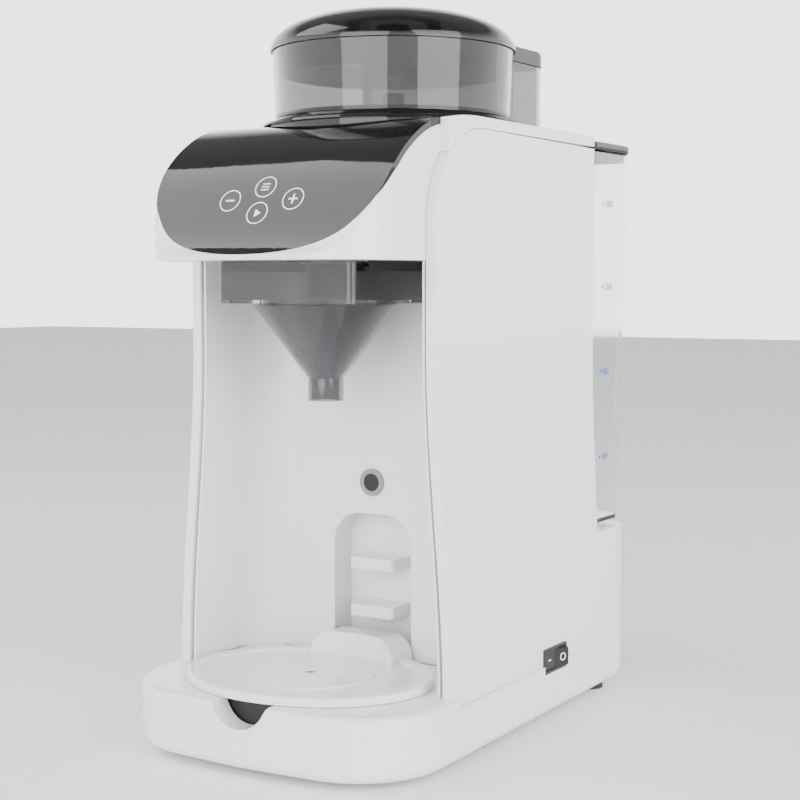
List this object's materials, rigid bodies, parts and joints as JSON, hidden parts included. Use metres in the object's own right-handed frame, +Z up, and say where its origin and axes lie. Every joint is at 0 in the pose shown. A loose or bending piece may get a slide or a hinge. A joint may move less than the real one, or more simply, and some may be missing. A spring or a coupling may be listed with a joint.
{
  "type": "baby formula maker",
  "caption": "Countertop baby formula maker with a round powder bowl, touch panel, funnel drawer, bottle bay, oval tray and rear water tank.",
  "frame": {"origin": "centre of the bounding box at the table", "axes": "+X to the right of someone facing the front, -Y out of the front, +Z up"},
  "size_m": [0.1756, 0.3027, 0.3883],
  "materials": {
    "white_plastic": "satin",
    "black_gloss": "satin",
    "smoke_clear": "satin",
    "clear_tank": "satin",
    "dark_plastic": "satin",
    "rubber_black": "satin",
    "rubber_clear": "satin",
    "steel": "satin",
    "grey_plastic": "satin",
    "board_green": "satin",
    "alloy": "satin",
    "nylon": "satin"
  },
  "bodies": {
    "machine": {"base_shell": "white_plastic", "base_rim": "white_plastic", "left_side_panel": "white_plastic", "right_side_panel": "white_plastic", "bay_liner": "white_plastic", "head_shell": "white_plastic", "rear_cover": "white_plastic", "control_panel": "black_gloss", "hopper_collar": "black_gloss", "touch_board": "board_green", "main_board": "board_green", "tank_socket": "grey_plastic", "socket_seal": "rubber_clear", "gear_plate": "grey_plastic", "dosing_motor": "steel", "mixing_cover": "grey_plastic", "powder_chute": "grey_plastic", "water_nozzle": "nylon", "drawer_rails": "dark_plastic", "water_heater": "alloy", "water_pump": "grey_plastic", "water_hoses": "rubber_clear", "switch_frame": "dark_plastic", "rubber_feet": "rubber_black", "case_screws": "steel", "sensor_bezel": "grey_plastic", "sensor_lens": "dark_plastic", "power_supply": "grey_plastic", "mains_inlet": "dark_plastic"},
    "tank": {"water_tank": "clear_tank", "tank_lid_pin": "steel"},
    "tank_lid_body": {"tank_lid": "smoke_clear"},
    "valve": {"tank_valve": "nylon"},
    "hopper": {"powder_hopper": "smoke_clear", "lobe_cap": "black_gloss", "lid_hinge_pin": "steel"},
    "hopper_lid_body": {"hopper_lid": "smoke_clear"},
    "stirrer_body": {"stirrer": "dark_plastic"},
    "drive": {"drive_gear": "nylon", "drive_shaft": "steel"},
    "pinion": {"motor_pinion": "nylon"},
    "drawer": {"funnel_drawer": "smoke_clear"},
    "tray": {"bottle_tray": "white_plastic", "drip_pan": "dark_plastic"},
    "rocker": {"power_rocker": "dark_plastic"}
  },
  "joints": [
    {"name": "tank_lift", "type": "slide", "parent": "machine", "child": "tank", "axis": [0, 0, 1], "range_m": [0, 0.25]},
    {"name": "tank_lid_hinge", "type": "hinge", "parent": "tank", "child": "tank_lid_body", "pos_m": [0, 0.0952, 0.3213], "axis": [1, 0, 0], "range_deg": [0, 85]},
    {"name": "valve_rise", "type": "slide", "parent": "tank", "child": "valve", "axis": [0, 0, 1], "range_m": [0, 0.003]},
    {"name": "hopper_lift", "type": "slide", "parent": "machine", "child": "hopper", "axis": [0, 0, 1], "range_m": [0, 0.1]},
    {"name": "hopper_lid_hinge", "type": "hinge", "parent": "hopper", "child": "hopper_lid_body", "pos_m": [0, 0.0655, 0.3713], "axis": [-1, 0, 0], "range_deg": [0, 80]},
    {"name": "drive_spin", "type": "hinge", "parent": "machine", "child": "drive", "pos_m": [0, -0.0074, 0.3], "axis": [0, 0, 1], "continuous": true},
    {"name": "pinion_spin", "type": "hinge", "parent": "machine", "child": "pinion", "pos_m": [0.032, -0.0074, 0.3], "axis": [0, 0, 1], "continuous": true},
    {"name": "stirrer_spin", "type": "hinge", "parent": "hopper", "child": "stirrer_body", "pos_m": [0, -0.0074, 0.316], "axis": [0, 0, 1], "continuous": true},
    {"name": "drawer_slide", "type": "slide", "parent": "machine", "child": "drawer", "axis": [0, -1, 0], "range_m": [0, 0.085]},
    {"name": "tray_lift", "type": "slide", "parent": "machine", "child": "tray", "axis": [0, 0, 1], "range_m": [0, 0.12]},
    {"name": "rocker_tilt", "type": "hinge", "parent": "machine", "child": "rocker", "pos_m": [0.0785, 0.029, 0.0346], "axis": [0, 0, 1], "range_deg": [0, 16]}
  ],
  "couplings": [
    {"joint": "pinion_spin", "follows": "drive_spin", "ratio": -3},
    {"joint": "stirrer_spin", "follows": "drive_spin", "ratio": 1}
  ]
}
